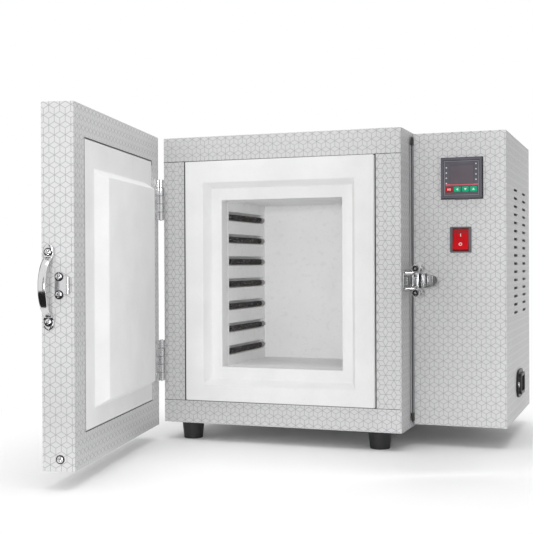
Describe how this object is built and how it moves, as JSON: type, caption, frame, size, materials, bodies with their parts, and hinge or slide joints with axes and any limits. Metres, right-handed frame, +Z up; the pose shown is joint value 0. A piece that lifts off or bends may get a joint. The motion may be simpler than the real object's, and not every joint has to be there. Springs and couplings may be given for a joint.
{
  "type": "chamber furnace",
  "caption": "Bench electric chamber furnace in patterned grey sheet steel: side-hinged door standing open, white fibre chamber with heating coils, and a control box on its right side.",
  "frame": {"origin": "on the floor plane under the feet, below the middle of the whole furnace's box with the door open as drawn", "axes": "+X to the right seen from the front, +Y from the open door towards the rear cover, +Z up"},
  "size_m": [0.4614, 0.6246, 0.3792],
  "materials": {
    "patterned_sheet": "satin light grey sheet with a fine geometric line pattern",
    "ceramic_fibre": "matte white pressed fibre",
    "insulation_board": "matte fibre board",
    "heating_wire": "dark oxidised coiled wire",
    "chrome": "bright plated",
    "steel": "brushed",
    "black_rubber": "matte",
    "black_plastic": "fine-grained",
    "grey_plastic": "fine-grained",
    "dark_window": "smoked glossy",
    "red_plastic": "glossy",
    "green_plastic": "glossy",
    "aluminium": "extruded",
    "board_green": "lacquered",
    "brass": "plain"
  },
  "bodies": {
    "furnace_body": {"outer_casing": "patterned_sheet", "base_plate": "patterned_sheet", "front_strip_top": "patterned_sheet", "front_strip_bottom": "patterned_sheet", "front_strip_left": "patterned_sheet", "front_strip_right": "patterned_sheet", "rear_cover": "patterned_sheet", "cover_screws": "steel", "feet": "black_rubber", "foot_screws": "steel", "mouth_plate": "ceramic_fibre", "muffle_top": "ceramic_fibre", "muffle_bottom": "ceramic_fibre", "muffle_left": "ceramic_fibre", "muffle_right": "ceramic_fibre", "muffle_rear": "ceramic_fibre", "heating_coil_left": "heating_wire", "heating_coil_right": "heating_wire", "insulation_rear": "insulation_board", "insulation_walls": "insulation_board", "thermocouple": "steel", "hinge_wall_leaves": "steel", "hinge_pins": "steel", "side_screws": "steel", "latch_base": "chrome", "latch_pivot_pin": "chrome", "control_casing": "patterned_sheet", "control_rear_cover": "patterned_sheet", "spacer_rails": "steel", "cable_bush": "black_rubber", "controller_bezel": "black_plastic", "controller_case": "black_plastic", "controller_face": "black_plastic", "controller_window": "dark_window", "controller_board": "board_green", "rocker_housing": "grey_plastic", "inlet_housing": "black_plastic", "inlet_pins": "brass", "inlet_screws": "steel", "heat_sink": "aluminium", "solid_state_relay": "black_plastic", "terminal_block": "black_plastic"},
    "door": {"door_shell": "patterned_sheet", "door_inner_frame": "patterned_sheet", "door_plate": "ceramic_fibre", "door_insulation": "insulation_board", "door_edge_screws": "chrome", "door_handle": "chrome", "latch_keeper": "chrome", "hinge_door_leaves": "steel", "hinge_door_screws": "steel"},
    "lever": {"latch_lever": "chrome"},
    "hook": {"latch_hook": "chrome", "latch_yoke": "chrome", "latch_springs": "chrome"},
    "rocker_key": {"rocker": "red_plastic"},
    "set_key": {"button_set": "red_plastic"},
    "left_key": {"button_left": "green_plastic"},
    "down_key": {"button_down": "green_plastic"},
    "up_key": {"button_up": "green_plastic"}
  },
  "joints": [
    {"name": "door_hinge", "type": "hinge", "parent": "furnace_body", "child": "door", "pos_m": [-0.19571, 0.01793, 0.1999], "axis": [0, 0, -1], "range_deg": [-79.15, 100]},
    {"name": "latch_lever_pin", "type": "hinge", "parent": "furnace_body", "child": "lever", "pos_m": [0.12429, 0.03993, 0.1994], "axis": [0, 0, 1], "range_deg": [-20, 90]},
    {"name": "latch_hook_pin", "type": "hinge", "parent": "lever", "child": "hook", "pos_m": [0.12849, 0.03993, 0.1994], "axis": [0, 0, 1], "range_deg": [-90, 20]},
    {"name": "rocker_pivot", "type": "hinge", "parent": "furnace_body", "child": "rocker_key", "pos_m": [0.17199, 0.07703, 0.2477], "axis": [1, 0, 0], "range_deg": [0, 16]},
    {"name": "set_press", "type": "slide", "parent": "furnace_body", "child": "set_key", "axis": [0, 1, 0], "range_m": [0, 0.0006], "stiffness_N_per_m": 300},
    {"name": "left_press", "type": "slide", "parent": "furnace_body", "child": "left_key", "axis": [0, 1, 0], "range_m": [0, 0.0006], "stiffness_N_per_m": 300},
    {"name": "down_press", "type": "slide", "parent": "furnace_body", "child": "down_key", "axis": [0, 1, 0], "range_m": [0, 0.0006], "stiffness_N_per_m": 300},
    {"name": "up_press", "type": "slide", "parent": "furnace_body", "child": "up_key", "axis": [0, 1, 0], "range_m": [0, 0.0006], "stiffness_N_per_m": 300}
  ],
  "couplings": [
    {"joint": "latch_hook_pin", "follows": "latch_lever_pin", "ratio": -1}
  ]
}
